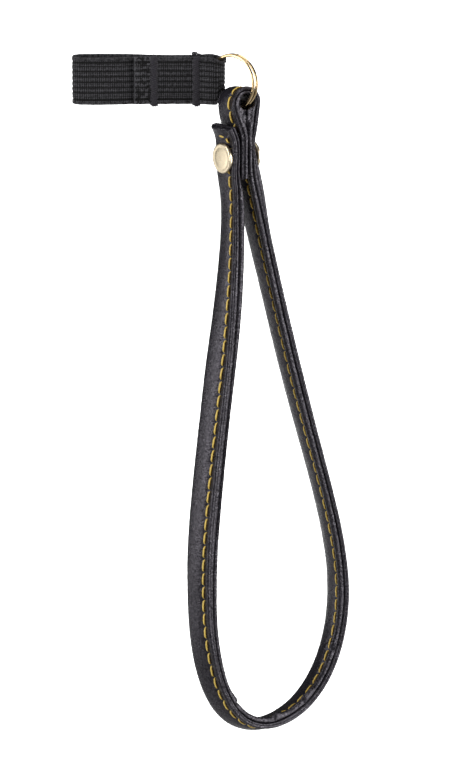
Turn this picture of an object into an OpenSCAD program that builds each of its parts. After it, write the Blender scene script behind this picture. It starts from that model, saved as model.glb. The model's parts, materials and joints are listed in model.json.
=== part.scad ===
// Wrist loop for a riding crop.
// A flat elastic band is sewn into two loops: a long one that slips round the crop and a short one that
// holds a split ring. A padded leather strap is folded over the ring, its two ends are gathered into a
// bundle of three layers, and a Chicago screw (post and screw) clamps the bundle.
// X runs along the elastic band, Z is up, and -Y is the band's front. The origin is the middle of the
// crop loop. The strap hangs in a vertical plane of its own, turned about Z by strap_yaw.

/* [Elastic band] */
// Width of the elastic tape
band_w = 16; // [14:0.5:18]
// Thickness of one layer of tape
band_t = 1.1; // [0.8:0.1:1.2]
// Half of the crop loop's opening, front to back
crop_gap = 2.3; // [2.2:0.1:3]
// Half of the ring loop's opening, front to back
ring_gap = 2.6; // [2.6:0.1:3]
// How far the sewn rows of thread stand proud of the tape
bartack_proud = 0.3; // [0.1:0.1:0.5]

/* [Split ring] */
// Outer diameter of the split ring
ring_od = 20; // [19:0.5:21]
// Thickness of the ring's wire across the ring
ring_wire = 1.1; // [0.8:0.1:1.2]
// Thickness of the two turns together, along the ring's axis
ring_stack = 1.9; // [1.4:0.1:2]
// Angle of the ring's plane from the band
ring_yaw = 37; // [35:1:40]

/* [Leather strap] */
// Width of the strap
strap_w = 11; // [9:0.5:11]
// Thickness of the padded strap
strap_t = 4.4; // [4:0.1:4.8]
// Thickness of one strap layer clamped under the screw
clamp_t = 3.1; // [2.8:0.1:3.2]
// Outer radius of the fold over the ring
fold_r = 5; // [4.8:0.1:5.4]
// Radius of the hollow that holds the ring's wire
hollow_r = 3.15; // [3.1:0.05:3.3]
// Angle of the strap's plane from the band
strap_yaw = 36; // [34:1:38]
// Distance of the seam from the strap's near edge
seam_in = 3; // [2.5:0.1:3.5]

/* [Chicago screw] */
// Diameter of both heads
head_d = 10.2; // [9:0.1:10.4]
// Height of each head
head_h = 1.25; // [1:0.05:1.6]
// Radius of the post's barrel
barrel_r = 2.2; // [2:0.1:2.4]
// Radius of the screw's shank
shank_r = 1.5; // [1.3:0.1:1.6]
// Gap between the shank and the barrel's bore, and between the barrel and the leather
running_gap = 0.05; // [0.03:0.01:0.09]

/* [Hidden] */
$fn = 64;
eps = 0.01;

// Elastic band, seen from above: places along X
crop_round_x = -10.5;   // centre of the crop loop's round end
crop_taper_x = 2;       // where the crop loop starts to close
flap_x = 7.5;           // the tape's free end, on the front
crop_tack_x = 13;       // near side of the first row of thread
ring_tack_x = 27.2;     // near side of the second row of thread
tack_w = 2.2;
pack_y = 1.5 * band_t;  // half of the three layers between the rows
ring_round_x = 34.2;    // centre of the ring loop's round end
flat_end_x = 31.6;      // end of the gathered lower part of the ring loop
gather_z = -1;          // the ring loop's lower edge, gathered up clear of the strap
press_z = 7;            // the ring loop's upper edge beyond the wire, pressed down by the ring

// Ring: its wire passes down the ring loop at wire_x, wire_y
wire_x = 33;
wire_y = 1.2;
ring_z = 0.6;
ring_mid_r = (ring_od - ring_wire) / 2;
ring_x = wire_x + ring_mid_r * cos(ring_yaw);
ring_y = wire_y - ring_mid_r * sin(ring_yaw);

// Strap: the fold's centre sits a little past the ring's lowest point
fold_past = 1.4;
fold_x = ring_x + fold_past * cos(ring_yaw);
fold_y = ring_y - fold_past * sin(ring_yaw);
fold_z = -6.6;
fold_mid_r = (fold_r + hollow_r) / 2;
fold_t = fold_r - hollow_r;
layer = clamp_t + 0.1;
mid_x = -0.4;                // middle layer of the bundle
left_x = mid_x - layer;      // the tail's layer
right_x = mid_x + layer;     // the layer that becomes the right limb
fold_foot_z = -19;
short_end_z = -31.3;
screw_z = -24.9;

// A cubic curve through control points [x, z, thickness]
function curve(a, b, c, d, t) =
    pow(1 - t, 3) * a + 3 * t * pow(1 - t, 2) * b + 3 * t * t * (1 - t) * c + pow(t, 3) * d;
function stretch(p, steps) = [for (i = [0 : steps - 1]) curve(p[0], p[1], p[2], p[3], i / steps)];

// The strap's middle line, from its short end in the bundle, over the ring and round to the tail
fold_left = [[mid_x, fold_foot_z, clamp_t], [mid_x, -14.5, clamp_t], [-fold_mid_r, -11.5, fold_t],
    [-fold_mid_r, fold_z, fold_t]];
fold_right = [[fold_mid_r, fold_z, fold_t], [fold_mid_r, -11, fold_t], [right_x, -14.5, clamp_t],
    [right_x, fold_foot_z, clamp_t]];
right_top = [[right_x, -30, clamp_t], [6, -44, strap_t], [19.5, -90, strap_t], [26.5, -112.2, strap_t]];
right_low = [[26.5, -112.2, strap_t], [33.9, -136, strap_t], [43.4, -160, strap_t], [43.4, -181, strap_t]];
bottom_right = [[43.4, -181, strap_t], [43.4, -206, strap_t], [29.8, -223.7, strap_t],
    [11.8, -223.7, strap_t]];
bottom_left = [[11.8, -223.7, strap_t], [-4.2, -223.7, strap_t], [-14, -203, strap_t],
    [-14, -172, strap_t]];
left_limb = [[-14, -172, strap_t], [-15.2, -140, strap_t], [2.3, -55, strap_t], [left_x, -31, clamp_t]];
tail = [[left_x, -19.2, clamp_t], [left_x, -17.6, clamp_t], [-4.5, -16.4, clamp_t], [-5.6, -14.5, clamp_t]];
limbs = concat(stretch(right_top, 14), stretch(right_low, 10), stretch(bottom_right, 10),
    stretch(bottom_left, 10), stretch(left_limb, 18), [left_limb[3]]);
whole_strap = concat([[mid_x, short_end_z, clamp_t]], stretch(fold_left, 8),
    [for (a = [180 : -15 : 15]) [fold_mid_r * cos(a), fold_z + fold_mid_r * sin(a), fold_t]],
    stretch(fold_right, 8), [fold_right[3]], limbs, stretch(tail, 5), [tail[3]]);
padded_part = [for (i = [4 : len(limbs) - 6]) limbs[i]];

// The outline of a layer that follows a line, between two distances from it. The distances are
// fractions of the line's own thickness plus a fixed amount.
function flat(p) = [p[0], p[1]];
function along(line, i) = flat(line[min(i + 1, len(line) - 1)]) - flat(line[max(i - 1, 0)]);
function side(line, i) = [-along(line, i)[1], along(line, i)[0]] / norm(along(line, i));
function offset_line(line, share, extra) =
    [for (i = [0 : len(line) - 1]) flat(line[i]) + side(line, i) * (share * line[i][2] + extra)];
function turned(list) = [for (i = [len(list) - 1 : -1 : 0]) list[i]];
module layer_outline(line, share_a, extra_a, share_b, extra_b) {
    polygon(concat(offset_line(line, share_a, extra_a), turned(offset_line(line, share_b, extra_b))));
}

// Puts a drawing of the strap's plane upright, as deep as width, with its middle at across
module upright(width, across = 0) {
    translate([0, across, 0]) rotate([90, 0, 0]) linear_extrude(width, center = true) children();
}

module at_strap() {
    translate([fold_x, fold_y, 0]) rotate([0, 0, strap_yaw]) children();
}

// Turns a shape drawn along +Z so that it runs along the screw's axis
module on_screw_axis(x) {
    at_strap() translate([x, 0, screw_z]) rotate([0, 90, 0]) children();
}

// Elastic band, drawn from above
module crop_loop_outline() {
    outer = crop_gap + band_t;
    translate([crop_round_x, 0]) circle(outer);
    polygon([[crop_round_x, outer], [crop_taper_x, outer - 0.1], [crop_tack_x, pack_y],
        [flat_end_x, pack_y], [flat_end_x, -pack_y], [crop_tack_x, -pack_y],
        [flap_x, -pack_y - 1.3], [flap_x, -pack_y - 0.2], [crop_taper_x, 0.1 - outer],
        [crop_round_x, -outer]]);
}

module crop_loop_hollow() {
    translate([crop_round_x, 0]) circle(crop_gap);
    polygon([[crop_round_x, crop_gap], [crop_taper_x, crop_gap - 0.05], [crop_tack_x - 0.6, 0.6],
        [crop_tack_x - 0.6, 0.5], [crop_taper_x, 0.05 - crop_gap], [crop_round_x, -crop_gap]]);
}

module ring_loop_outline() {
    outer = ring_gap + band_t;
    translate([ring_round_x, 0]) circle(outer);
    polygon([[ring_tack_x + tack_w, pack_y], [ring_round_x - 1.6, outer - 0.35],
        [ring_round_x, outer], [ring_round_x, -outer], [ring_round_x - 1.6, 0.35 - outer],
        [ring_tack_x + tack_w, -pack_y]]);
}

module ring_loop_hollow() {
    translate([ring_round_x, 0]) circle(ring_gap);
    polygon([[30.4, 0], [ring_round_x - 1.4, ring_gap - 0.3], [ring_round_x, ring_gap],
        [ring_round_x, -ring_gap], [ring_round_x - 1.4, 0.3 - ring_gap]]);
}

module ring_loop_wall() {
    difference() {
        ring_loop_outline();
        ring_loop_hollow();
    }
}

module elastic_band() {
    color([0.05, 0.05, 0.06]) {
        translate([0, 0, -band_w / 2]) linear_extrude(band_w) difference() {
            crop_loop_outline();
            crop_loop_hollow();
            // room for the ring loop, drawn below
            translate([ring_tack_x + tack_w, -band_w]) square(2 * band_w);
        }
        translate([0, 0, -band_w / 2]) linear_extrude(gather_z + band_w / 2)
            translate([ring_tack_x + tack_w, -pack_y])
                square([flat_end_x - ring_tack_x - tack_w, 2 * pack_y]);
        translate([0, 0, gather_z]) linear_extrude(press_z - gather_z) ring_loop_wall();
        translate([0, 0, press_z]) linear_extrude(band_w / 2 - press_z) intersection() {
            ring_loop_wall();
            translate([ring_tack_x, -band_w]) square([wire_x - ring_tack_x, 2 * band_w]);
        }
    }
}

// One row of thread wound round the three layers of tape
module bartack(x) {
    proud = bartack_proud;
    color([0.08, 0.07, 0.1]) difference() {
        translate([x, -pack_y - proud, -band_w / 2 - proud])
            cube([tack_w, 2 * (pack_y + proud), band_w + 2 * proud]);
        translate([x - eps, -pack_y, -band_w / 2]) cube([tack_w + 2 * eps, 2 * pack_y, band_w]);
    }
}

module crop_bartack() { bartack(crop_tack_x); }

module ring_bartack() { bartack(ring_tack_x); }

// Two turns of flat wire side by side, with the groove between them
module split_ring() {
    inner = ring_od / 2 - ring_wire;
    outer = ring_od / 2;
    half = ring_stack / 2;
    bevel = 0.25;
    groove = 0.12;
    color([0.85, 0.72, 0.45])
        translate([ring_x, ring_y, ring_z]) rotate([0, 0, -ring_yaw]) rotate([90, 0, 0])
            rotate_extrude() polygon([[inner, bevel - half], [inner + bevel, -half],
                [outer - bevel, -half], [outer, bevel - half], [outer, -groove], [outer - groove, 0],
                [outer, groove], [outer, half - bevel], [outer - bevel, half],
                [inner + bevel, half], [inner, half - bevel], [inner, groove],
                [inner + groove, 0], [inner, -groove]]);
}

// Leather strap
leather_t = 1.3;       // one thickness of leather
filler_w = 6;          // width of the padding
filler_across = 1;     // middle of the padding, towards the far edge
thread_w = 0.9;
thread_deep = 0.3;     // how far the thread sinks into the leather
thread_proud = 0.2;
seam_across = seam_in - strap_w / 2;

module filler_shape() {
    upright(filler_w, filler_across) layer_outline(padded_part, 0.5, -leather_t, -0.5, leather_t);
}

// The seam's thread on one face of the limbs: face is 1 for the outer face and -1 for the inner one
module seam(face, proud) {
    upright(thread_w, seam_across)
        layer_outline(padded_part, face * 0.5, face * proud, face * 0.5, -face * thread_deep);
}

module strap_cover() {
    color([0.06, 0.06, 0.08]) difference() {
        at_strap() upright(strap_w) layer_outline(whole_strap, 0.5, 0, -0.5, 0);
        at_strap() filler_shape();
        at_strap() seam(1, 1);
        at_strap() seam(-1, 1);
        on_screw_axis(-fold_r * 4) cylinder(h = fold_r * 8, r = barrel_r + running_gap);
    }
}

module strap_filler() { color([0.5, 0.5, 0.5]) at_strap() filler_shape(); }

module needle_thread() { color([0.85, 0.62, 0.1]) at_strap() seam(1, thread_proud); }

module bobbin_thread() { color([0.85, 0.62, 0.1]) at_strap() seam(-1, thread_proud); }

// Chicago screw: the post comes through from the tail's side and the screw from the other
head_bevel = 0.4;
bundle_left = left_x - clamp_t / 2;
bundle_right = right_x + clamp_t / 2;
barrel_h = bundle_right - bundle_left - 0.6;
bore_h = barrel_h - 1;
shank_h = bore_h - 0.2;

module head() {
    rotate_extrude() polygon([[0, 0], [head_d / 2, 0], [head_d / 2, head_h - head_bevel],
        [head_d / 2 - head_bevel, head_h], [0, head_h]]);
}

module screw_post() {
    color([0.85, 0.78, 0.6]) difference() {
        union() {
            on_screw_axis(bundle_left) rotate([180, 0, 0]) head();
            on_screw_axis(bundle_left - eps) cylinder(h = barrel_h + eps, r = barrel_r);
        }
        on_screw_axis(bundle_left + barrel_h - bore_h)
            cylinder(h = bore_h + 1, r = shank_r + running_gap);
    }
}

module screw_cap() {
    slot_w = 1;
    slot_deep = 0.6;
    color([0.85, 0.78, 0.6]) difference() {
        union() {
            on_screw_axis(bundle_right) head();
            on_screw_axis(bundle_right + eps) rotate([180, 0, 0]) cylinder(h = shank_h, r = shank_r);
        }
        on_screw_axis(bundle_right + head_h - slot_deep)
            translate([-head_d, -slot_w / 2, 0]) cube([2 * head_d, slot_w, 2]);
    }
}

elastic_band();
crop_bartack();
ring_bartack();
split_ring();
strap_cover();
strap_filler();
needle_thread();
bobbin_thread();
screw_post();
screw_cap();
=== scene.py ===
"""Wrist loop of a riding crop: elastic tape, split ring, padded leather strap and Chicago screw."""
import json
import math
import random

import bpy
import numpy as np
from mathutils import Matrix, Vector, noise


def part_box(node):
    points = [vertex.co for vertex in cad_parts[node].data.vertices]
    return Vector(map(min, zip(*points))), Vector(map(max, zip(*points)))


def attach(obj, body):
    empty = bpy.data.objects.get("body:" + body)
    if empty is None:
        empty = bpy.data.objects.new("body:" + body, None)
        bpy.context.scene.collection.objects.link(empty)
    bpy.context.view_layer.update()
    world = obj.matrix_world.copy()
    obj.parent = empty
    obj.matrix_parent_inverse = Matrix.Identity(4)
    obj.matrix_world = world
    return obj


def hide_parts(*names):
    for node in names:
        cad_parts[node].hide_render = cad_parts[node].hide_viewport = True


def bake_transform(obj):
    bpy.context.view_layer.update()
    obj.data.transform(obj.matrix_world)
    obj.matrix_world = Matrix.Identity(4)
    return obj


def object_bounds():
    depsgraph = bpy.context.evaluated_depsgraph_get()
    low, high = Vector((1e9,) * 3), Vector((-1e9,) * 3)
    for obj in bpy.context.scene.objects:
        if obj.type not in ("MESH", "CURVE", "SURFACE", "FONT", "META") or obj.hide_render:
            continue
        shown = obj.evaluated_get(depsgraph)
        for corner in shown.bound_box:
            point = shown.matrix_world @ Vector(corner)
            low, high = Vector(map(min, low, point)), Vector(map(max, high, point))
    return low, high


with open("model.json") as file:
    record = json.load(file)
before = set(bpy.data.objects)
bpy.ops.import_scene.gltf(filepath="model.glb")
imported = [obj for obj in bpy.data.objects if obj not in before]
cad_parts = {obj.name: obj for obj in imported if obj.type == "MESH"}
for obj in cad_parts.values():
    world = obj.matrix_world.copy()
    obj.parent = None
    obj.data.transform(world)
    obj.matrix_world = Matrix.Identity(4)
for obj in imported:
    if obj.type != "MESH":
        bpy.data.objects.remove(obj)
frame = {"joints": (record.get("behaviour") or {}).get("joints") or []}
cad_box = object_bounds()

MM = 0.001
STITCH_WIDTH = 0.94   # across one yellow stitch, in mm
UP = Vector((0, 0, 1))
SCENE = bpy.context.scene
joints = {joint["name"]: joint for joint in frame["joints"]}


# -------------------- general helpers

def smooth(low, high, x):
    """0 below low, 1 above high and a smooth rise between them."""
    t = min(max((x - low) / (high - low), 0.0), 1.0)
    return t * t * (3 - 2 * t)


def bump(x, centre, half_width):
    """A smooth hump of height 1 at centre that ends half_width to each side."""
    t = abs(x - centre) / half_width
    return 0.5 + 0.5 * math.cos(math.pi * t) if t < 1 else 0.0


def wobble(x, seed):
    """Smooth noise between about -1 and 1 along a line."""
    return noise.noise(Vector((x, seed * 7.31, 0.5)))


def catmull(points, steps, closed=False):
    """A smooth line through points, with steps samples on each stretch."""
    count = len(points)
    stretches = count if closed else count - 1
    out = []
    for i in range(stretches):
        if closed:
            p = [points[(i + k) % count] for k in (-1, 0, 1, 2)]
        else:
            p = [points[min(max(i + k, 0), count - 1)] for k in (-1, 0, 1, 2)]
        for j in range(steps):
            t = j / steps
            out.append(tuple(
                0.5 * (2 * b + (c - a) * t + (2 * a - 5 * b + 4 * c - d) * t * t
                       + (3 * b - a - 3 * c + d) * t ** 3)
                for a, b, c, d in zip(*p)))
    if not closed:
        out.append(tuple(points[-1]))
    return out


class Shape:
    """Vertices, faces and texture places in metres that become one mesh."""

    def __init__(self):
        self.vertices, self.faces, self.places, self.shades = [], [], [], []

    def loft(self, rings, along, around):
        """Joins closed rings of points and caps both ends. along and around are the texture places of the
        rings and of their points."""
        start, count = len(self.vertices), len(rings[0])
        for ring in rings:
            self.vertices.extend(ring)
        for i in range(len(rings) - 1):
            for j in range(count):
                k = (j + 1) % count
                low, high = start + i * count, start + (i + 1) * count
                self.faces.append((low + j, low + k, high + k, high + j))
                self.places.append(((along[i], around[j]), (along[i], around[j + 1]),
                                    (along[i + 1], around[j + 1]), (along[i + 1], around[j])))
        last = start + (len(rings) - 1) * count
        self.faces.append(tuple(range(start + count - 1, start - 1, -1)))
        self.places.append(tuple((along[0], around[j]) for j in range(count - 1, -1, -1)))
        self.faces.append(tuple(range(last, last + count)))
        self.places.append(tuple((along[-1], around[j]) for j in range(count)))

    def tube(self, centres, radii, sides=6, side_hint=UP):
        """A round tube. side_hint settles where the first of its sides lies."""
        rings, along, length = [], [], 0.0
        for i, centre in enumerate(centres):
            ahead = centres[min(i + 1, len(centres) - 1)] - centres[max(i - 1, 0)]
            across = side_hint.cross(ahead)
            across = across.normalized() if across.length > 1e-9 else Vector((1, 0, 0))
            height = ahead.cross(across).normalized()
            if i:
                length += (centre - centres[i - 1]).length
            along.append(length)
            rings.append([centre + across * radii[i] * math.cos(a) + height * radii[i] * math.sin(a)
                          for a in (2 * math.pi * j / sides for j in range(sides))])
        widest = max(radii)
        around = [2 * math.pi * widest * j / sides for j in range(sides + 1)]
        self.loft(rings, along, around)

    def piece(self, name, material, body, nodes, slot):
        """The finished mesh. Without a body it rides nothing."""
        mesh = bpy.data.meshes.new(name)
        mesh.from_pydata([tuple(v) for v in self.vertices], [], self.faces)
        if self.shades:
            shade = mesh.attributes.new("shade", "FLOAT", "POINT")
            shade.data.foreach_set("value", self.shades + [0.0] * (len(self.vertices) - len(self.shades)))
        layer = mesh.uv_layers.new(name="metres")
        flat_places = [value for face in self.places for place in face for value in place]
        layer.data.foreach_set("uv", flat_places)
        mesh.polygons.foreach_set("use_smooth", [True] * len(mesh.polygons))
        mesh.materials.append(material)
        mesh.update()
        piece = bpy.data.objects.new(name, mesh)
        SCENE.collection.objects.link(piece)
        if body:
            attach(piece, body)
        if nodes:
            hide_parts(*nodes)
        return piece


# -------------------- materials

def new_material(name, colour, roughness, metallic=0.0, specular=0.5, sheen=0.0):
    """A plain material, and the calls that build its node tree."""
    material = bpy.data.materials.new(name)
    material.use_nodes = True
    shader = material.node_tree.nodes["Principled BSDF"]
    shader.inputs["Base Color"].default_value = (*colour, 1)
    shader.inputs["Roughness"].default_value = roughness
    shader.inputs["Metallic"].default_value = metallic
    shader.inputs["Specular IOR Level"].default_value = specular
    shader.inputs["Sheen Weight"].default_value = sheen
    shader.inputs["Sheen Roughness"].default_value = 0.5
    return material, Nodes(material.node_tree, shader)


class Nodes:
    """Short calls for building a node tree."""

    def __init__(self, tree, shader):
        self.tree, self.shader = tree, shader

    def add(self, kind, **settings):
        node = self.tree.nodes.new(kind)
        for key, value in settings.items():
            setattr(node, key, value)
        return node

    def link(self, out, into):
        self.tree.links.new(out, into)

    def object_place(self):
        return self.add("ShaderNodeTexCoord").outputs["Object"]

    def metres(self):
        """The piece's own length and width as (u, v), in metres."""
        return self.add("ShaderNodeUVMap", uv_map="metres").outputs["UV"]

    def math(self, operation, a, b=None):
        node = self.add("ShaderNodeMath", operation=operation)
        for i, value in enumerate((a, b)):
            if value is None:
                continue
            if isinstance(value, (int, float)):
                node.inputs[i].default_value = value
            else:
                self.link(value, node.inputs[i])
        return node.outputs[0]

    def noise(self, place, size, detail=3.0, roughness=0.55):
        """Cloudy noise from 0 to 1 whose features are about size metres."""
        node = self.add("ShaderNodeTexNoise")
        node.inputs["Scale"].default_value = 1 / size
        node.inputs["Detail"].default_value = detail
        node.inputs["Roughness"].default_value = roughness
        self.link(place, node.inputs["Vector"])
        return node.outputs["Fac"]

    def cells(self, place, size):
        """Distance from the middles of cells about size metres apart."""
        node = self.add("ShaderNodeTexVoronoi", feature="F1")
        node.inputs["Scale"].default_value = 1 / size
        self.link(place, node.inputs["Vector"])
        return node.outputs["Distance"]

    def spread(self, value, low, high, to_low, to_high):
        """value moved from low..high to to_low..to_high."""
        node = self.add("ShaderNodeMapRange")
        for name, number in (("From Min", low), ("From Max", high), ("To Min", to_low), ("To Max", to_high)):
            node.inputs[name].default_value = number
        self.link(value, node.inputs["Value"])
        return node.outputs["Result"]

    def mix(self, share, colour_a, colour_b):
        ramp = self.add("ShaderNodeValToRGB")
        ramp.color_ramp.elements[0].color = (*colour_a, 1)
        ramp.color_ramp.elements[1].color = (*colour_b, 1)
        self.link(share, ramp.inputs["Fac"])
        return ramp.outputs["Color"]

    def colour(self, out):
        self.link(out, self.shader.inputs["Base Color"])

    def roughness(self, out):
        self.link(out, self.shader.inputs["Roughness"])

    def bump(self, height, depth, strength=1.0, under=None):
        """Relief of the given depth in metres, on top of an earlier relief."""
        node = self.add("ShaderNodeBump")
        node.inputs["Strength"].default_value = strength
        node.inputs["Distance"].default_value = depth
        self.link(height, node.inputs["Height"])
        if under is not None:
            self.link(under, node.inputs["Normal"])
        return node.outputs["Normal"]

    def normal(self, out):
        self.link(out, self.shader.inputs["Normal"])


def leather_material():
    """Black leather with a fine grain that also breaks up its shine."""
    material, n = new_material("black_leather", (0.01, 0.0092, 0.0122), 0.34, specular=0.9)
    place = n.object_place()
    cloud = n.noise(place, 0.009, 4)
    n.colour(n.mix(n.spread(cloud, 0.3, 0.7, 0, 1), (0.007, 0.0063, 0.0088), (0.014, 0.0128, 0.0172)))
    n.roughness(n.spread(n.noise(place, 0.004, 3), 0.3, 0.7, 0.21, 0.34))
    shine = n.spread(n.noise(place, 0.0009, 4, 0.75), 0.34, 0.66, 0.25, 1.0)
    n.link(shine, n.shader.inputs["Specular IOR Level"])
    n.shader.inputs["Specular Tint"].default_value = (0.95, 0.89, 1.0, 1)
    grain = n.bump(n.cells(place, 0.0006), 0.00012, 0.8)
    pores = n.bump(n.noise(place, 0.0005, 3), 0.00012, 0.8, grain)
    creases = n.bump(n.noise(place, 0.0022, 5, 0.7), 0.0003, 0.6, pores)
    n.normal(creases)
    return material


def elastic_material():
    """Knitted tape. Its shade attribute is 1 in the grooves, 0 on the ribs and -1 on the plain selvedges;
    the colour paints shade into the grooves.
    """
    material, n = new_material("knitted_elastic", (0.03, 0.029, 0.031), 0.75, specular=0.25, sheen=0.08)
    u_v = n.add("ShaderNodeSeparateXYZ")
    n.link(n.metres(), u_v.inputs[0])
    wale = n.math("SINE", n.math("MULTIPLY", u_v.outputs[0], 2 * math.pi / 0.00072))
    course = n.math("SINE", n.math("MULTIPLY", u_v.outputs[1], 2 * math.pi / 0.00061))
    shade = n.add("ShaderNodeAttribute", attribute_name="shade").outputs["Fac"]
    ribbed = n.spread(shade, -0.9, -0.3, 0.15, 1)
    knit = n.math("MULTIPLY", n.math("ADD", wale, n.math("MULTIPLY", course, 0.75)), ribbed)
    fuzz = n.noise(n.object_place(), 0.0007, 4, 0.7)
    height = n.math("ADD", n.spread(knit, -1.6, 1.6, 0, 1), n.spread(fuzz, 0.3, 0.7, -0.35, 0.35))
    flap = n.spread(u_v.outputs[0], 0.0068, 0.0078, 0.45, 0)
    curls = n.spread(n.noise(n.object_place(), 0.0011, 2), 0.4, 0.6, -1, 1)
    height = n.math("ADD", height, n.math("MULTIPLY", curls, flap))
    height = n.math("ADD", height, n.spread(u_v.outputs[0], 0.0002, 0.0008, 1, 0))
    # painted shade: the colour follows the relief, darker in the grooves and in the knit's low parts and
    # lighter on its raised loops; the raised cut end is lighter too
    painted_groove_shade = n.spread(shade, 0.05, 0.7, 0, 0.9)
    light = n.math("SUBTRACT", n.spread(height, 0.28, 0.84, 0, 1), painted_groove_shade)
    n.colour(n.mix(light, (0.002, 0.0018, 0.0022), (0.098, 0.096, 0.107)))
    n.normal(n.bump(height, 0.00016, 1.0))
    return material


def black_thread_material():
    material, n = new_material("black_thread", (0.022, 0.019, 0.027), 0.55, specular=0.45, sheen=0.2)
    place = n.object_place()
    n.colour(n.mix(n.noise(place, 0.0012, 3), (0.014, 0.012, 0.017), (0.036, 0.031, 0.044)))
    n.normal(n.bump(n.noise(place, 0.00015, 2), 0.00004, 0.6))
    return material


def yellow_thread_material():
    """Twisted yellow thread with a painted highlight along its crown and painted shade, browner, down its
    sides and between its plies.
    """
    material, n = new_material("yellow_thread", (0.75, 0.45, 0.06), 0.4, specular=0.4)
    u_v = n.add("ShaderNodeSeparateXYZ")
    n.link(n.metres(), u_v.inputs[0])
    ply_phase = n.math("ADD", n.math("MULTIPLY", u_v.outputs[0], 2 * math.pi / 0.0013),
                       n.math("MULTIPLY", u_v.outputs[1], 2 * math.pi / 0.0013))
    ply = n.math("SINE", ply_phase)
    # painted highlight on the crown and painted shade down the sides, by the place across the stitch; the
    # plies add painted shade between them
    crown_highlight = n.math("SINE", n.math("MULTIPLY", u_v.outputs[1], 2 / STITCH_WIDTH / MM))
    light = n.math("ADD", n.spread(crown_highlight, 0.0, 1.0, 0, 0.85), n.math("MULTIPLY", ply, 0.15))
    n.colour(n.mix(light, (0.24, 0.095, 0.008), (1.0, 0.74, 0.16)))
    n.normal(n.bump(n.spread(ply, -1, 1, 0, 1), 0.00008, 0.5))
    return material


def ring_material():
    material, n = new_material("gold_wire", (0.8, 0.6, 0.33), 0.14, metallic=1.0)
    place = n.object_place()
    n.colour(n.mix(n.noise(place, 0.003, 3), (0.72, 0.50, 0.25), (0.86, 0.69, 0.42)))
    n.roughness(n.spread(n.noise(place, 0.0007, 4), 0.3, 0.7, 0.10, 0.22))
    n.normal(n.bump(n.noise(place, 0.0004, 2), 0.00001, 0.5))
    return material


def screw_material():
    material, n = new_material("gold_screw", (0.84, 0.72, 0.52), 0.3, metallic=1.0)
    place = n.object_place()
    n.colour(n.mix(n.noise(place, 0.004, 4), (0.80, 0.67, 0.46), (0.89, 0.78, 0.58)))
    n.roughness(n.spread(n.noise(place, 0.0006, 4), 0.3, 0.7, 0.26, 0.34))
    n.normal(n.bump(n.noise(place, 0.00025, 2), 0.000004, 0.4))
    return material


def padding_material():
    material, n = new_material("padding", (0.30, 0.29, 0.28), 0.95, specular=0.2)
    fluff = n.noise(n.object_place(), 0.0012, 5, 0.7)
    n.colour(n.mix(fluff, (0.22, 0.21, 0.20), (0.38, 0.37, 0.36)))
    n.normal(n.bump(fluff, 0.0003, 0.8))
    return material


def floor_material():
    material, n = new_material("studio_floor", (0.50, 0.50, 0.50), 0.8, specular=0.2)
    n.colour(n.mix(n.noise(n.object_place(), 0.5, 2), (0.49, 0.49, 0.49), (0.51, 0.51, 0.51)))
    return material


LEATHER = leather_material()
ELASTIC = elastic_material()
BLACK_THREAD = black_thread_material()
YELLOW_THREAD = yellow_thread_material()
GOLD_WIRE = ring_material()
GOLD_SCREW = screw_material()
PADDING = padding_material()


# -------------------- the strap's own frame

# The strap hangs in an upright plane through the fold's axis. H runs across the loop in that plane,
# and NEAR points out of it to the strap's near edge, where the seam is.
FOLD_AXIS = Vector(joints["strap_swing"]["pos_m"])
NEAR = -Vector(joints["strap_swing"]["axis"]).normalized()
H = Vector(joints["screw_turn"]["axis"]).normalized()
HUNG_FROM = Vector((FOLD_AXIS.x, FOLD_AXIS.y, 0))
FOLD_Z = FOLD_AXIS.z / MM

STRAP_T = 4.4
FULL_T = 4.8          # where the left limb is fullest
CLAMP_T = 3.1
FOLD_T = 1.85
FOLD_MID_R = 4.075
LAYER = CLAMP_T + 0.1
MID_X = -0.4
LEFT_X = MID_X - LAYER
RIGHT_X = MID_X + LAYER
FOLD_FOOT_Z = -19
SCREW_Z = -24.9
ROUND = 0.5523 * FOLD_MID_R   # handle length of a quarter circle


def straight(x, z0, z1, t):
    """An upright stretch of the route, as a cubic curve's four points."""
    return [(x, z0 + (z1 - z0) * k / 3, t) for k in range(4)]


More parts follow.
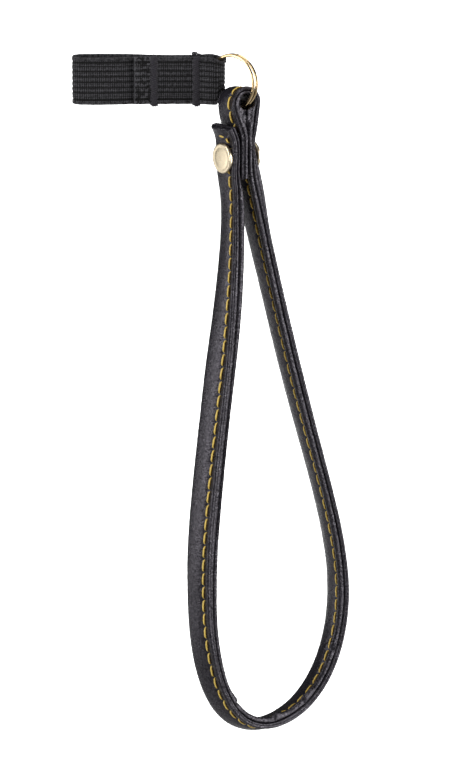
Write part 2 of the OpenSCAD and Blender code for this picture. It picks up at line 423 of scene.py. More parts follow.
# The strap's middle line as cubic curves [x along H, z, thickness] in mm, from its short end in the
# bundle, over the ring, round the loop and up to the tail
ROUTE = {
    "short_end": straight(MID_X, -31.3, FOLD_FOOT_Z, CLAMP_T),
    "fold_left": [(MID_X, FOLD_FOOT_Z, CLAMP_T), (MID_X, -14.5, CLAMP_T), (-FOLD_MID_R, -11.5, FOLD_T),
                  (-FOLD_MID_R, FOLD_Z, FOLD_T)],
    "arch_left": [(-FOLD_MID_R, FOLD_Z, FOLD_T), (-FOLD_MID_R, FOLD_Z + ROUND, FOLD_T),
                  (-ROUND, FOLD_Z + FOLD_MID_R, FOLD_T), (0, FOLD_Z + FOLD_MID_R, FOLD_T)],
    "arch_right": [(0, FOLD_Z + FOLD_MID_R, FOLD_T), (ROUND, FOLD_Z + FOLD_MID_R, FOLD_T),
                   (FOLD_MID_R, FOLD_Z + ROUND, FOLD_T), (FOLD_MID_R, FOLD_Z, FOLD_T)],
    "fold_right": [(FOLD_MID_R, FOLD_Z, FOLD_T), (FOLD_MID_R, -11, FOLD_T), (RIGHT_X, -14.5, CLAMP_T),
                   (RIGHT_X, FOLD_FOOT_Z, CLAMP_T)],
    "right_clamp": straight(RIGHT_X, FOLD_FOOT_Z, -30, CLAMP_T),
    "right_top": [(RIGHT_X, -30, CLAMP_T), (6.5, -43, STRAP_T), (19.0, -90, STRAP_T),
                  (26.0, -112.2, STRAP_T)],
    "right_low": [(26.0, -112.2, STRAP_T), (33.2, -136, 3.9), (43.0, -161.5, 3.9), (43.2, -181, STRAP_T)],
    "bottom_right": [(43.2, -181, STRAP_T), (43.5, -206, STRAP_T), (29.8, -223.8, STRAP_T),
                     (11.4, -223.8, STRAP_T)],
    "bottom_left": [(11.4, -223.8, STRAP_T), (-5.8, -223.6, 3.4), (-15.0, -203, 4.0),
                    (-14.4, -172, FULL_T)],
    "left_limb": [(-14.4, -172, FULL_T), (-15.6, -140, 5.6), (3.0, -55, 3.6), (LEFT_X, -31, CLAMP_T)],
    "left_clamp": straight(LEFT_X, -31, -19.2, CLAMP_T),
    "tail": [(LEFT_X, -19.2, CLAMP_T), (LEFT_X, -17.6, CLAMP_T), (-4.5, -16.4, CLAMP_T),
             (-5.6, -14.5, CLAMP_T)],
}


def walk_route(step=0.1):
    """Even samples (x, z, thickness) along the whole route, and the length at which each stretch starts."""
    line, starts = [], {}
    for name, (a, b, c, d) in ROUTE.items():
        starts[name] = len(line)
        for k in range(200):
            t = k / 200
            line.append([(1 - t) ** 3 * p + 3 * t * (1 - t) ** 2 * q + 3 * t * t * (1 - t) * r + t ** 3 * s
                         for p, q, r, s in zip(a, b, c, d)])
    line.append(list(d))
    line = np.array(line)
    gone = np.concatenate([[0], np.cumsum(np.linalg.norm(np.diff(line[:, :2], axis=0), axis=1))])
    even = np.linspace(0, gone[-1], int(gone[-1] / step) + 1)
    samples = np.stack([np.interp(even, gone, line[:, k]) for k in range(3)], axis=1)
    return even, samples, {name: gone[i] for name, i in starts.items()}


def eased(samples, places, spacing, width, keep_before):
    """The line with its corners eased, except on its first stretch, where the fold is tight."""
    reach = int(3 * width / spacing)
    weights = np.exp(-0.5 * (np.arange(-reach, reach + 1) * spacing / width) ** 2)
    weights /= weights.sum()
    padded = np.concatenate([2 * samples[:1] - samples[reach:0:-1], samples,
                             2 * samples[-1:] - samples[-2:-reach - 2:-1]])
    soft = np.stack([np.convolve(padded[:, k], weights, "valid") for k in range(3)], axis=1)
    share = np.array([smooth(keep_before, keep_before + 8, s) for s in places])[:, None]
    return samples * (1 - share) + soft * share


PLACES, SAMPLES, START = walk_route()
LENGTH = PLACES[-1]
SAMPLES = eased(SAMPLES, PLACES, PLACES[1], 2.2, START["right_clamp"])
SLOPES = np.gradient(SAMPLES[:, :2], axis=0)
SLOPES /= np.linalg.norm(SLOPES, axis=1)[:, None]


def stretch_at(name, share):
    """The length along the route at a share of the named stretch."""
    names = list(START)
    after = names.index(name) + 1
    end = START[names[after]] if after < len(names) else LENGTH
    return START[name] + share * (end - START[name])


# Turn of the strap about its own line, in degrees: the loop isn't flat but winds a little
TWIST = [
    (0, 0), (stretch_at("right_clamp", 0.8), 0), (stretch_at("right_top", 0.6), 8),
    (stretch_at("right_low", 0.5), 10), (stretch_at("bottom_right", 0.8), 15.3),
    (stretch_at("bottom_left", 0.5), 11), (stretch_at("left_limb", 0.0), 7),
    (stretch_at("left_limb", 0.5), 7),
    (stretch_at("left_limb", 0.90), -10), (stretch_at("left_clamp", 0.15), -4),
    (stretch_at("left_clamp", 0.6), 0), (LENGTH, 0),
]


def twist_at(s):
    """The strap's turn about its own line at a length s, in radians."""
    for (s0, a0), (s1, a1) in zip(TWIST, TWIST[1:]):
        if s <= s1:
            return math.radians(a0 + (a1 - a0) * smooth(s0, s1, s))
    return math.radians(TWIST[-1][1])


class Station:
    """The strap's place, directions and thickness at a length s (mm) along its route."""

    def __init__(self, s):
        s_in = min(max(s, 0), LENGTH)
        x, z, self.t = (float(np.interp(s_in, PLACES, SAMPLES[:, k])) for k in range(3))
        dx, dz = (float(np.interp(s_in, PLACES, SLOPES[:, k])) for k in range(2))
        x, z = x + dx * (s - s_in), z + dz * (s - s_in)
        self.s, self.x, self.z = s, x, z
        self.ahead = (H * dx + UP * dz).normalized()
        self.outward = (H * -dz + UP * dx).normalized()
        angle = twist_at(s_in)
        self.near = NEAR * math.cos(angle) - self.outward * math.sin(angle)
        self.out = self.outward * math.cos(angle) + NEAR * math.sin(angle)
        self.centre = HUNG_FROM + H * (x * MM) + UP * (z * MM)

    def point(self, across, out):
        """The point at a distance towards the near edge and one outwards, in mm."""
        return self.centre + self.near * (across * MM) + self.out * (out * MM)


# -------------------- leather strap

SEAM_ACROSS = 2.5
STITCH_PITCH = 4.7
STITCH_LENGTH = 4.35

# The strap's section: (distance towards the near edge in mm, distance outwards as a share of half the
# thickness, follows the crease). It starts at the far edge and passes over the outer face first.
SECTION = [
    (-5.65, 0.00, 0), (-5.53, 0.48, 0), (-4.95, 0.84, 0), (-3.40, 1.03, 0), (-1.50, 1.06, 0),
    (0.10, 1.00, 0), (1.35, 0.85, 0), (2.10, 0.70, 0), (2.50, 0.64, 0), (2.95, 0.68, 0), (3.70, 0.79, 0),
    (4.50, 0.91, 0), (5.00, 0.95, 0), (5.34, 0.88, 0), (5.52, 0.70, 0), (5.54, 0.52, 0),
    (5.38, 0.44, 0), (5.54, 0.35, 0), (5.54, 0.20, 1), (5.36, 0.09, 1),
    (4.95, 0.02, 1), (4.45, 0.00, 1), (4.95, -0.03, 1),
    (5.34, -0.11, 1), (5.52, -0.28, 1), (5.54, -0.58, 0), (5.34, -0.82, 0), (4.95, -0.94, 0),
    (4.40, -0.90, 0), (3.60, -0.77, 0), (2.95, -0.66, 0), (2.50, -0.62, 0), (2.10, -0.67, 0),
    (1.35, -0.78, 0), (0.10, -0.92, 0), (-1.60, -0.98, 0), (-3.50, -0.94, 0), (-4.95, -0.76, 0),
    (-5.53, -0.42, 0),
]

# Where the inner hem has buckled: (stretch, share of it, height in mm, the way it rises along the strap)
BUCKLES = [("bottom_right", 0.34, 0.4, 1), ("bottom_right", 0.72, 0.7, 1), ("bottom_right", 0.97, 0.9, 1),
           ("bottom_left", 0.32, 0.55, -1)]


def crease_at(s):
    """Place of the crease between the two hems, as a share of half the thickness."""
    return (0.05 - 0.07 * smooth(stretch_at("bottom_right", 0), stretch_at("bottom_right", 1), s)
            - 0.27 * smooth(stretch_at("bottom_left", 0.2), stretch_at("left_limb", 0.3), s)
            + 0.15 * smooth(stretch_at("left_limb", 0.7), stretch_at("left_limb", 1), s)
            + 0.05 * wobble(s / 9, 1))


HOLLOW_R = 3.05
FLARE_OUTER = 1.7
FLARE_INNER = 1.1
FAR_SPREAD = 0.5
CLAMP_SWELL = 1.0
FOLD_TILT = 0.15


def fold_fill(station, lip):
    """How far the inner face reaches in the fold, so that its two walls meet under the ring, in mm.
    lip is how much further a wall reaches at its near edge."""
    if not stretch_at("short_end", 0.98) < station.s < stretch_at("right_clamp", 0.02):
        return None
    middle_top, middle_foot = 0.6, 1.2
    bottom = FOLD_Z - HOLLOW_R
    if station.z > FOLD_Z:
        return station.t / 2 + lip if lip else None
    if station.z > bottom:
        reach = math.sqrt(max(HOLLOW_R ** 2 - (station.z - FOLD_Z) ** 2, 0))
        middle = middle_top * smooth(FOLD_Z, bottom, station.z)
    else:
        reach = 0
        middle = middle_top + (middle_foot - middle_top) * (bottom - station.z) / (bottom - FOLD_FOOT_Z)
    wall = -1 if station.x < middle else 1
    edge = middle * (1 - reach / HOLLOW_R) + wall * max(reach - lip, 0.06)
    return abs(station.x - edge)


def fold_lip(station):
    """How far the near edge of the fold's wall bulges into its hollow, clear of the ring's swing, in mm."""
    if not stretch_at("fold_left", 0.1) < station.s < stretch_at("fold_right", 0.9):
        return 0.0
    below = FOLD_Z - station.z
    if station.x > 0 and below > 0:
        return 1.5 * smooth(0.5, 2.0, below)
    angle = math.degrees(math.atan2(-below, station.x))
    if below > 0:
        return 1.5
    return 0.3 * smooth(60, 95, angle) + 1.2 * smooth(110, 160, angle)


def flare_at(s):
    """Extra thickness at the near edge's outer and inner side where the limbs leave the bundle, in mm."""
    outer = smooth(stretch_at("right_clamp", 0.2), stretch_at("right_top", 0.02), s) * (
        1 - smooth(stretch_at("right_top", 0.02), stretch_at("right_top", 0.3), s))
    inner = smooth(stretch_at("left_limb", 0.40), stretch_at("left_limb", 0.72), s) * (
        1 - smooth(stretch_at("left_limb", 0.93), stretch_at("left_clamp", 0.2), s))
    return FLARE_OUTER * outer, FLARE_INNER * inner


def fold_bulge(s):
    """Extra thickness of the fold's outer side, over its top and down its right wall, in mm."""
    return (0.55 * smooth(stretch_at("arch_left", 0.1), stretch_at("arch_left", 0.9), s)
            + 0.3 * smooth(stretch_at("arch_right", 0.1), stretch_at("arch_right", 1), s)
            - 0.55 * smooth(stretch_at("fold_right", 0.2), stretch_at("fold_right", 1), s)
            - 0.3 * smooth(stretch_at("right_clamp", 0), stretch_at("right_clamp", 0.4), s))


def far_spread(s):
    """Extra width at the far edge of the left limb, where the leather lies fuller, in mm."""
    return FAR_SPREAD * smooth(stretch_at("bottom_left", 0.6), stretch_at("left_limb", 0.2), s) * (
        1 - smooth(stretch_at("left_limb", 0.5), stretch_at("left_limb", 0.7), s))


def clamp_swell(s):
    """How far the screw's far head is pushed out by the leather that swells under it, in mm."""
    return CLAMP_SWELL * smooth(START["right_clamp"], stretch_at("right_clamp", 0.3), s) * (
        1 - smooth(stretch_at("right_clamp", 0.8), stretch_at("right_top", 0.05), s))


def fold_tilt(s):
    """Slope of the fold's top: its near edge lies higher, as the ring's wire does."""
    return FOLD_TILT * smooth(stretch_at("fold_left", 0.6), stretch_at("arch_left", 0.8), s) * (
        1 - smooth(stretch_at("arch_right", 0.2), stretch_at("fold_right", 0.4), s))


def section_at(station):
    """The strap's outline at a station, as (across, out) in mm."""
    s, half = station.s, station.t / 2
    crease = crease_at(s)
    in_fold = smooth(stretch_at("fold_left", 0.2), stretch_at("fold_left", 0.8), s) * (
        1 - smooth(stretch_at("fold_right", 0.2), stretch_at("fold_right", 0.8), s))
    trim = 0.9 * in_fold - far_spread(s)
    bulge = fold_bulge(s)
    tilt = fold_tilt(s)
    flare = flare_at(s)
    lip = fold_lip(station)
    swell = clamp_swell(s)
    necked = bump(s, stretch_at("right_clamp", 0.1), 6)
    buckled = 0.0
    notch = 0.0
    for name, share, height, way in BUCKLES:
        past = (s - stretch_at(name, share)) * way
        buckled += height * smooth(-6, -0.3, past) * (1 - smooth(-0.3, 0.6, past))
        notch += bump(past, 0.9, 1.3)
    hem = 0.07 * wobble(s / 5, 2) + 0.05 * wobble(s / 1.7, 3)
    outline = []
    for across, out, follows in SECTION:
        near_share = smooth(3.4, 4.9, across)
        w, n = across, out
        if follows:
            n += crease
        elif out < 0:
            n -= 0.03 * wobble(s / 6 + across, 4)
        fill = fold_fill(station, lip * smooth(3.0, 4.9, across))
        inner = half if fill is None else max(half, fill / 0.9)
        n = n * (half + bulge if n > 0 else inner)
        if n > 0 or across > 0:
            n += tilt * across
        edge = smooth(3.6, 5.3, across)
        n += edge * (flare[0] * max(out, 0) + flare[1] * min(out, 0))
        if out > 0:
            n += swell * (1 - smooth(1.5, 5.0, across)) - 0.5 * necked * smooth(1.5, 5.0, across)
        if across < 0:
            w += trim * smooth(0, 5, -across)
        w += hem * near_share * (1 if abs(out) > 0.1 else 0.4)
        w -= 0.16 * lip * near_share * (1 - math.cos(3.6 * min(n + half, 0)))
        if n < 0.1 and near_share:
            lift = near_share * (1 if out < -0.05 or not follows else 0.3)
            n -= buckled * lift * smooth(-0.1, -0.5, out)
            w += 0.25 * buckled * lift - 0.5 * notch * lift * smooth(-0.1, -0.3, out)
        if abs(across - SEAM_ACROSS) < 0.5:
            sunk = stitch_hole(s) * 0.4
            n -= math.copysign(sunk, n)
        outline.append((w, n))
    return catmull(outline, 2, closed=True)


def stitch_hole(s):
    """1 where the thread goes through the leather, 0 on a stitch."""
    phase = (s % STITCH_PITCH) / STITCH_PITCH
    return max(bump(phase, 0.0, 0.16), bump(phase, 1.0, 0.16))


def strap_places():
    """Lengths of the strap's stations: close together where it is folded and where its ends are."""
    close, wide = 0.42, 0.85
    places, s = [], 0.0
    while s < LENGTH:
        places.append(s)
        s += close if s < START["right_clamp"] or s > START["tail"] else wide
    return places + [LENGTH]


def end_rings(station, direction, ring_shape):
    """Rings that round off one end of the strap, leaving a slit between its two layers of leather."""
    rings = []
    for squeeze, beyond in ((0.97, 0.25), (0.85, 0.45), (0.62, 0.55), (0.40, 0.40), (0.22, 0.05),
                            (0.10, -0.6)):
        moved = Station(station.s + direction * beyond)
        rings.append([moved.point(w * (0.94 + 0.06 * squeeze), n * squeeze) for w, n in ring_shape])
    return rings


def strap_cover():
    """The strap's leather, as one skin along the whole route with both ends rounded off."""
    shape = Shape()
    stations = [Station(s) for s in strap_places()]
    outlines = [section_at(station) for station in stations]
    rings = [[station.point(w, n) for w, n in outline] for station, outline in zip(stations, outlines)]
    first = end_rings(stations[0], -1, outlines[0])[::-1]
    last = end_rings(stations[-1], 1, outlines[-1])
    along = ([-0.1 * MM * k for k in range(len(first), 0, -1)] + [s.s * MM for s in stations]
             + [(LENGTH + 0.1 * k) * MM for k in range(1, len(last) + 1)])
    outline = outlines[len(outlines) // 2]
    gone = [0.0]
    for (w0, n0), (w1, n1) in zip(outline, outline[1:] + outline[:1]):
        gone.append(gone[-1] + math.hypot(w1 - w0, n1 - n0) * MM)
    shape.loft(first + rings + last, along, gone)
    piece = shape.piece("strap_leather", LEATHER, "strap", ["strap_cover"], "black_leather")


def strap_filler():
    """The felt core inside the limbs, which shows only if the leather is cut away."""
    shape = Shape()
    half_w, across, leather = 3, -1, 1.3
    begin, end = stretch_at("right_top", 0.3), stretch_at("left_limb", 0.72)
    places = [begin + (end - begin) * k / 300 for k in range(301)]
    rings = []
    for s in places:
        station = Station(s)
        thick = station.t / 2 - leather
        rings.append([station.point(across + half_w * math.cos(a), thick * math.sin(a))
                      for a in (2 * math.pi * j / 16 for j in range(16))])
    shape.loft(rings, [s * MM for s in places], [half_w * 4 * j / 16 * MM for j in range(17)])
    piece = shape.piece("strap_core", PADDING, "strap", ["strap_filler"], "padding")


def stitch_points(s0, face, slant):
    """Middle line of a stitch that starts at length s0 on the outer (1) or the inner (-1) face."""
    points = []
    for k in range(9):
        share = k / 8
        station = Station(s0 + STITCH_LENGTH * share)
        half = station.t / 2 + (fold_bulge(station.s) if face > 0 else 0)
        level = 0.64 * half + SEAM_ACROSS * fold_tilt(station.s) + 0.24 - 0.75 * (2 * abs(share - 0.5)) ** 6
        points.append(station.point(SEAM_ACROSS + slant * (share - 0.5), face * level))
    return points


def seam(name, node, face):
    """Every stitch on one face, from the short end over the fold and round the loop to the tail. On the
    inner face they start only after the fold.
    """
    shape = Shape()
    dice = random.Random(11 + face)
    gap = (STITCH_PITCH - STITCH_LENGTH) / 2
    count = int((LENGTH - 3) / STITCH_PITCH)
    for k in range(count):
        s0 = k * STITCH_PITCH + gap
        if face < 0 and s0 < START["right_clamp"]:   # it can't be seen inside the fold
            continue
        points = stitch_points(s0, face, dice.uniform(0.22, 0.4))
        station = Station(s0 + STITCH_LENGTH / 2)
        add_thread(shape, points, station.near * -face, STITCH_WIDTH)
    if face > 0:
        add_tail_turn(shape)
    shape.piece(name, YELLOW_THREAD, "strap", [node], "yellow_thread")


def add_tail_turn(shape):
    """The seam turns across the strap near its tail's tip: a slanting stitch, then one straight across."""
    turn = ((3.0, (1.0, -2.4), (0, 0.5)), (3.4, (1.8, 2.7), (0, -1.7)))
    for back, (across0, across1), (along0, along1) in turn:
        s = LENGTH - back
        points = []
        for k in range(9):
            share = k / 8
            station = Station(s + along0 + (along1 - along0) * share)
            level = 0.84 * station.t / 2 + 0.14 - 0.7 * (2 * abs(share - 0.5)) ** 4
            points.append(station.point(across0 + (across1 - across0) * share, level))
        travel = points[-1] - points[0]
        add_thread(shape, points, Station(s).out.cross(travel), STITCH_WIDTH)


def add_thread(shape, points, beside, width):
    """One spindle-shaped stitch of two twisted plies. beside is the direction of its width."""
    count, sides = len(points), 10
    ply_length, flatness = 2.6, 0.66
    rings, along, gone = [], [], 0.0
    for k, centre in enumerate(points):
        ahead = (points[min(k + 1, count - 1)] - points[max(k - 1, 0)]).normalized()
        across = (beside - ahead * beside.dot(ahead)).normalized()
        height = ahead.cross(across)
        if k:
            gone += (centre - points[k - 1]).length
        along.append(gone)
        thick = width / 2 * MM * (0.45 + 0.55 * math.sin(math.pi * k / (count - 1)) ** 0.5)
        turn = 2 * math.pi * gone / (ply_length * MM)
        ring = []
        for j in range(sides):
            a = 2 * math.pi * j / sides
            r = thick * (1 + 0.12 * math.cos(2 * (a - turn)))
            ring.append(centre + across * r * math.cos(a) + height * r * flatness * math.sin(a))
        rings.append(ring)
    shape.loft(rings, along, [math.pi * width * MM * j / sides for j in range(sides + 1)])


# -------------------- elastic tape

TAPE_W = 16
TAPE_T = 1.1
CROP_ROUND_X = -10.05
CROP_MID_R = 2.85
RING_ROUND_X = 34.2
RING_LOOP_R = 3.15
TACKS_X = (13, 27.2)
TACK_W = 2.2
GROOVES = [(6.3, 0.36), (5.0, 0.12), (3.3, 0.22), (1.5, 0.22), (-0.35, 0.22), (-2.2, 0.22), (-3.95, 0.22),
           (-5.3, 0.08), (-6.35, 0.36)]   # (height on the tape, depth) in mm


def tape_route():
    """The tape's middle line seen from above, in mm: it starts at the free end on the front, goes round
    the ring's loop and then round the crop's loop, and ends between its own layers."""
    def arc(x, r, from_deg, to_deg, steps):
        return [(x + r * math.cos(math.radians(from_deg + (to_deg - from_deg) * k / steps)),
                 r * math.sin(math.radians(from_deg + (to_deg - from_deg) * k / steps)))
                for k in range(steps + 1)]
    points = [(7.45, -2.42), (9.5, -1.98), (12, -1.38), (14.1, -1.10), (18, -1.12), (23, -1.12),
              (28.3, -1.10), (30.2, -1.55), (32.0, -2.55)]
    points += arc(RING_ROUND_X, RING_LOOP_R, -80, 80, 8)
    points += [(32.0, 2.55), (30.2, 1.55), (28.3, 1.10), (23, 1.12), (18, 1.12), (14.1, 1.10), (12, 1.28),
               (7, 2.45), (2, 3.35), (-4, 3.5)]
    points += arc(CROP_ROUND_X, CROP_MID_R, 90, 270, 8)
    points += [(-4, -2.84), (2, -2.70), (6, -1.75), (9.5, -0.78), (12, -0.22), (14.1, 0), (18, 0), (26, 0)]
    return catmull(points, 10)


def rib_height(z):
    """Relief of the tape's face at a height z: round ribs between sharp grooves, smooth selvedges."""
    return -sum(deep * math.exp(-((z - place) / 0.30) ** 2) for place, deep in GROOVES)


def tape_outline():
    """(height, outwards) of the tape's section in mm, from the top over the front face and back."""
    rows = 96
    front, back = [], []
    for k in range(rows + 1):
        z = TAPE_W / 2 * math.cos(math.pi * (0.06 + 0.88 * k / rows)) / math.cos(math.pi * 0.06)
        edge = math.sqrt(max(1 - (max(abs(z) - 7.5, 0) / 0.5) ** 2, 0))
        thick = TAPE_T / 2 * (0.35 + 0.65 * edge)
        front.append((z, thick + rib_height(z)))
        back.append((z, -thick - 0.6 * rib_height(z)))
    return front + back[::-1]


def gathered(x, y, z):
    """Where the ring's loop is pushed up at its lower right corner, a point's new height and its bulge."""
    angle = math.degrees(math.atan2(y, x - RING_ROUND_X)) if x > 29.8 else -180
    share = smooth(34.9, 36.2, x) * (1 - smooth(0, 40, angle) if y > 0 or angle > 0 else 1)
    low = -TAPE_W / 2 + 2.1 * share
    top = TAPE_W / 2 - 0.95 * smooth(33.0, 37.4, x) - 0.45 * smooth(35.2, 36.2, x) * (y < 0.6)
    span = (8 - z) / 16
    squeezed = top - span * (top - low) - 0.55 * share * math.sin(math.pi * span) * span
    crumple = share * smooth(0.45, 1.0, span)
    wave = 0.34 * math.sin(span * 26 + 2.2 * x) + 0.25 * wobble(x * 1.3 + z * 0.8, 5)
    return squeezed, crumple * wave


def elastic_band():
    """The whole tape with its frayed end, and the length of its middle line in metres."""
    shape = Shape()
    route = tape_route()
    outline = tape_outline()
    xs = [p[0] for p in route]
    ys = [p[1] for p in route]
    dx, dy = np.gradient(xs), np.gradient(ys)
    raised = 0.25   # the tape's edges sit a little high on the rows of thread
    gone = np.concatenate([[0], np.cumsum(np.hypot(np.diff(xs), np.diff(ys)))])
    rings = []
    for i, (x, y) in enumerate(route):
        size = math.hypot(dx[i], dy[i])
        outward = Vector((dy[i] / size, -dx[i] / size, 0))
        ring = []
        for z, out in outline:
            # groove depth as the shade attribute: it shapes the knit's relief and paints shade into the
            # grooves
            shape.shades.append(-1.0 if abs(z) > 6.85 else min(-rib_height(z) / 0.22, 1.0))
            new_z, bulge = gathered(x, y, z)
            nub = 0.55 * bump(x, 37.2, 1.6) * smooth(6.4, 7.8, z) * (y < 1.5)
            sway = (raised + 0.3 * smooth(-0.5, 1.5, y) * smooth(-8, 8, z) + 0.12 * wobble(gone[i] / 11, 6)
                    + 0.05 * wobble(gone[i] / 3 + z / 4, 7))
            ring.append(Vector((x, y, new_z + sway)) * MM + outward * ((out + bulge + nub) * MM))
        rings.append(ring)
    around = [0.0]
    for (z0, _), (z1, _) in zip(outline, outline[1:] + outline[:1]):
        around.append(around[-1] + abs(z1 - z0) * MM)
    shape.loft(rings, [g * MM for g in gone], around)
    add_frayed_end(shape, route[0])
    piece = shape.piece("elastic_tape", ELASTIC, None, ["elastic_band"], "elastic")
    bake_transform(piece)
    return piece, gone[-1] * MM


def add_frayed_end(shape, end):
    """Short fibres along the tape's cut end."""
    dice = random.Random(3)
    for k in range(70):
        z = -7.6 + 15.2 * k / 69
        start = Vector((end[0] + 0.25, end[1] - 0.42 + dice.uniform(-0.1, 0.1), z))
        reach = Vector((-dice.uniform(0.25, 0.75), dice.uniform(-0.25, 0.1), dice.uniform(-0.25, 0.25)))
        points = [start * MM, (start + reach * 0.5 + Vector((0, -0.08, 0))) * MM, (start + reach) * MM]
        shape.tube(points, [0.07 * MM, 0.06 * MM, 0.03 * MM], sides=4)


def bartack(name, node, x, seed):
    """A row of close zigzag stitches through all three layers, front and back."""
    shape = Shape()
    dice = random.Random(seed)
    half_pack = 1.5 * TAPE_T
    rows = 52
    for face in (-1, 1):
        for k in range(rows):
            z = -8.05 + 16.1 * k / (rows - 1)
            lean = 0.16 if k % 2 else -0.16
            x0 = x - dice.uniform(-0.15, 0.35)
            x1 = x + TACK_W + dice.uniform(-0.25, 0.25)
            points = []
            for j in range(7):
                share = j / 6
                lift = 0.20 * math.sin(math.pi * share) ** 0.5 - 0.10
                points.append(Vector((x0 + (x1 - x0) * share, face * (half_pack + lift),
                                      z + lean * (share - 0.5) * 2 + 0.05 * math.sin(k * 2.4))) * MM)
            shape.tube(points, [0.21 * MM] * 7, sides=6, side_hint=Vector((0, 1, 0)))
    for end in (-1, 1):
        for k in range(7):
            xk = x + 0.2 + (TACK_W - 0.4) * k / 6
            reach = 0.12 + 0.5 * bump(k, 3.5 + dice.uniform(-1, 1), 4)
            points = []
            for j in range(9):
                a = math.pi * j / 8
                points.append(Vector((xk + 0.25 * math.sin(j * 1.7 + k), -math.cos(a) * (half_pack + 0.12),
                                      end * (7.75 + (0.25 + reach) * math.sin(a)))) * MM)
            shape.tube(points, [0.20 * MM] * 9, sides=6, side_hint=Vector((1, 0, 0)))
    add_knots(shape, x, seed, dice)
    return shape.piece(name, BLACK_THREAD, "band", [node], "black_thread")


def add_knots(shape, x, seed, dice):
    """Loose thread ends: a curl on top of the ring's row, and small bumps below both rows."""
    tufts = [(x + 1.1, -1.2, -8.1, 5, 0.45)]
    if seed == 2:
        tufts += [(x + 0.1, -0.8, 8.4, 9, 1.3), (x + 1.6, -0.6, 8.3, 8, 0.9)]
    for cx, cy, cz, count, size in tufts:
        for _ in range(count):
            start = Vector((cx + dice.uniform(-0.6, 0.6), cy + dice.uniform(-0.4, 0.4), cz))
            turn = dice.uniform(0, 2 * math.pi)
            points = []
            for j in range(8):
                share = j / 7
                curl = turn + 3.4 * share
                points.append((start + Vector((
                    size * 0.75 * math.cos(curl) * share, size * 0.45 * math.sin(curl) * share,
                    math.copysign(1, cz) * size * math.sin(math.pi * share * 0.72)))) * MM)
            shape.tube(points, [0.16 * MM] * 7 + [0.08 * MM], sides=5)


# -------------------- split ring

RING_R = 9.6
WIRE_WIDE = 1.1      # across the ring
WIRE_THICK = 0.78    # along the ring's axis
TURN_PITCH = 1.3
RING_SAG = 0.35       # how far the ring hangs down in its loops
SPLAY = 0.5           # how much wider apart the turns are where the ring has been sprung open
SPLAY_AT = 15         # middle of that stretch, in degrees from the ring's far side
SPLAY_HALF_WIDTH = 110


def split_ring():
    """Flat wire wound in two turns. The first turn steps over to the second in a short stretch."""
    low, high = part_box("split_ring")
    centre = (low + high) / 2 - UP * (RING_SAG * MM)
    out_dir = FOLD_AXIS - centre
    out_dir.z = 0
    out_dir.normalize()
    axis = UP.cross(out_dir)
    mid_r = RING_R - WIRE_WIDE / 2
    gap = math.radians(13)
    start = math.pi
    steps = 260
    half_w, half_t, bevel = WIRE_WIDE / 2, WIRE_THICK / 2, 0.24
    outline = [(half_w - bevel, -half_t), (half_w, bevel - half_t), (half_w, half_t - bevel),
               (half_w - bevel, half_t), (bevel - half_w, half_t), (-half_w, half_t - bevel),
               (-half_w, bevel - half_t), (bevel - half_w, -half_t)]
    shape = Shape()
    rings, along = [], []
    for k in range(steps + 1):
        angle = gap + (4 * math.pi - 2 * gap) * k / steps
        step_over = smooth(2 * math.pi - gap, 2 * math.pi + gap, angle)
        a = start + angle
        radial = out_dir * math.cos(a) + UP * math.sin(a)
        open_at = bump(math.degrees(math.atan2(math.sin(a), math.cos(a))), SPLAY_AT,
                       SPLAY_HALF_WIDTH)
        offset = TURN_PITCH * (step_over - 0.5) * (1 + SPLAY * open_at)
        end_round = min(k, steps - k)
        shrink = 0.8 if end_round == 0 else 1
        rings.append([centre + radial * ((mid_r + r * shrink) * MM) + axis * ((offset + q * shrink) * MM)
                      for r, q in outline])
        along.append(mid_r * angle * MM)
    shape.loft(rings, along, [0.4 * MM * j for j in range(len(outline) + 1)])
    piece = shape.piece("ring_wire", GOLD_WIRE, "ring", ["split_ring"], "gold_wire")
    soften_edges(piece, 0.10)


def soften_edges(piece, width):
    """Rounds sharp edges by width mm and keeps the flat faces flat in the shading."""
    bevel = piece.modifiers.new("rounded edges", "BEVEL")
    bevel.width = width * MM
    bevel.segments = 2
    bevel.limit_method = "ANGLE"
    bevel.angle_limit = math.radians(30)
    bevel.harden_normals = True


# -------------------- Chicago screw

HEAD_R = 5.1
HEAD_H = 1.25
BARREL_R = 2.2
SHANK_R = 1.5
RUNNING_GAP = 0.05
BUNDLE = LAYER * 2 + CLAMP_T
BARREL_SHORT = 0.6    # how much shorter than the bundle the barrel is
SHANK_SHORT = 1.8
FACE_RING_R = 3.75    # the faint ring turned into both faces
FACE_RING_DEEP = 0.015


def lathe(shape, base, axis, profile, sides=96, cut=None):
    """Turns (radius, distance along axis) points in mm round axis. cut lowers chosen points."""
    side = UP.cross(axis).normalized()
    top = axis.cross(side)
    rings = []
    for r, d in profile:
        ring = []
        for j in range(sides):
            a = 2 * math.pi * j / sides
            u, v = r * math.cos(a), r * math.sin(a)
            down = cut(u, v, d) if cut else 0
            ring.append(base + side * (u * MM) + top * (v * MM) + axis * ((d - down) * MM))
        rings.append(ring)
    gone = [0.0]
    for (r0, d0), (r1, d1) in zip(profile, profile[1:]):
        gone.append(gone[-1] + math.hypot(r1 - r0, d1 - d0) * MM)
    shape.loft(rings, gone, [2 * math.pi * 3 * MM * j / sides for j in range(sides + 1)])


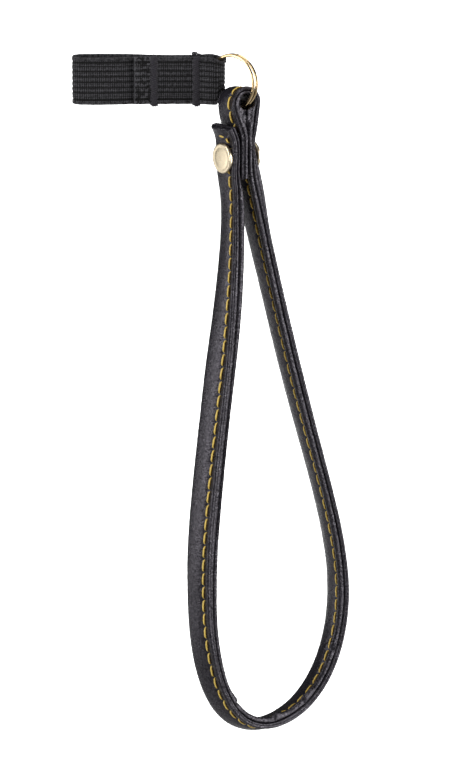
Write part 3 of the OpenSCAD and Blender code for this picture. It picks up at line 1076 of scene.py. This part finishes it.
def head_profile():
    """A flat head with a rolled rim and a faint ring turned into its face, from the rim's foot inwards."""
    rim = 0.42
    profile = [(HEAD_R - 0.12, 0.0), (HEAD_R, 0.15), (HEAD_R, HEAD_H - rim)]
    profile += [(HEAD_R - rim + rim * math.cos(a), HEAD_H - rim + rim * math.sin(a))
                for a in (math.pi / 2 * k / 6 for k in range(1, 7))]
    for k in range(9):
        share = k / 8
        profile.append((FACE_RING_R + 0.35 - 0.7 * share,
                        HEAD_H - 0.02 - FACE_RING_DEEP * math.sin(math.pi * share)))
    profile += [(FACE_RING_R * f, HEAD_H + 0.05 * (1 - f)) for f in (0.8, 0.6, 0.45, 0.3, 0.15, 0.06, 0.01)]
    return profile


def screw_post():
    """The post: the left head and the hollow barrel that the shank screws into."""
    axis = -H
    base = HUNG_FROM + H * ((LEFT_X - CLAMP_T / 2) * MM) + UP * (SCREW_Z * MM)
    shape = Shape()
    barrel = BUNDLE - BARREL_SHORT
    bore = SHANK_R + RUNNING_GAP
    profile = [(bore - 0.2, -barrel + 8), (bore, -barrel), (BARREL_R - 0.2, -barrel),
               (BARREL_R, 0.2 - barrel), (BARREL_R, 0.0)]
    lathe(shape, base, axis, profile + head_profile())
    shape.piece("post_with_head", GOLD_SCREW, "post", ["screw_post"], "gold_screw")


def screw_cap():
    """The screw: the far head, with its slot, and a plain shank."""
    swell = clamp_swell(stretch_at("right_clamp", 0.5))
    base = HUNG_FROM + H * ((RIGHT_X + CLAMP_T / 2 + swell) * MM) + UP * (SCREW_Z * MM)
    shape = Shape()
    shank = BUNDLE - SHANK_SHORT

    def slot(_, v, d):
        return 0.55 * (1 - smooth(0.42, 0.55, abs(v))) if d > HEAD_H - 0.3 else 0

    profile = [(0.3, -shank), (SHANK_R - 0.25, -shank), (SHANK_R, 0.25 - shank), (SHANK_R, 0.0)]
    lathe(shape, base, H, profile + head_profile(), cut=slot)
    shape.piece("screw_with_head", GOLD_SCREW, "screw", ["screw_cap"], "gold_screw")


# -------------------- build the object

elastic, tape_length = elastic_band()
crop_row = bartack("crop_row_thread", "crop_bartack", TACKS_X[0], 1)
ring_row = bartack("ring_row_thread", "ring_bartack", TACKS_X[1], 2)
split_ring()
strap_cover()
strap_filler()
seam("needle_stitches", "needle_thread", 1)
seam("bobbin_stitches", "bobbin_thread", -1)
screw_post()
screw_cap()


# -------------------- studio

def floor():
    """A wide grey floor, well below the hanging loop."""
    drop = 0.6
    z = cad_box[0].z - drop
    half = 8.0
    mesh = bpy.data.meshes.new("floor")
    corners = [(-half, -half, z), (half, -half, z), (half, half, z), (-half, half, z)]
    mesh.from_pydata(corners, [], [(0, 1, 2, 3)])
    mesh.materials.append(floor_material())
    ground = bpy.data.objects.new("floor", mesh)
    SCENE.collection.objects.link(ground)


def soft_box(name, place, target, size, radiance, spread=180):
    """A rectangular lamp of the given radiance that faces the target."""
    lamp = bpy.data.lights.new(name, "AREA")
    lamp.shape = "RECTANGLE"
    lamp.size, lamp.size_y = size
    lamp.energy = radiance * math.pi * size[0] * size[1]
    lamp.spread = math.radians(spread)
    light = bpy.data.objects.new(name, lamp)
    light.location = place
    light.rotation_euler = (target - Vector(place)).to_track_quat("-Z", "Y").to_euler()
    SCENE.collection.objects.link(light)


def studio():
    """Lights, the floor and a faint even world."""
    middle = (cad_box[0] + cad_box[1]) / 2
    floor()
    soft_box("key", (-1.4, -0.8, 0.35), middle, (1.2, 1.4), 3.9)
    soft_box("side", (-1.45, 0.12, -0.4), middle, (0.7, 0.5), 2.1)
    soft_box("fill", (1.5, -0.5, 0.0), middle, (0.9, 1.3), 5.4)
    soft_box("top", (-0.1, -0.3, 1.5), middle, (1.2, 1.0), 2.6)
    soft_box("backdrop", (0, 3.7, 0.9), Vector((0, 3.7, -1)), (2.2, 4.4), 4.6, spread=80)
    soft_box("front_floor", (0, -5.2, 0.9), Vector((0, -5.2, -1)), (3.0, 6.0), 0.8, spread=80)
    world = bpy.data.worlds.new("studio")
    world.use_nodes = True
    background = world.node_tree.nodes["Background"]
    background.inputs["Color"].default_value = (1, 1, 1, 1)
    background.inputs["Strength"].default_value = 0.06
    SCENE.world = world
    SCENE.view_settings.view_transform = "Standard"


def camera():
    """A long lens that looks a little down on the object, which is left of the picture's middle."""
    elevation = math.radians(12.5)
    distance = 2.0
    aim = Vector((0.0395, 0, -0.104))
    forward = Vector((0, math.cos(elevation), -math.sin(elevation)))
    data = bpy.data.cameras.new("camera")
    data.sensor_width = 36
    data.lens = 277
    data.clip_start, data.clip_end = 0.05, 50
    eye = bpy.data.objects.new("camera", data)
    eye.location = aim - forward * distance
    eye.rotation_euler = forward.to_track_quat("-Z", "Y").to_euler()
    SCENE.collection.objects.link(eye)
    SCENE.camera = eye


studio()
camera()
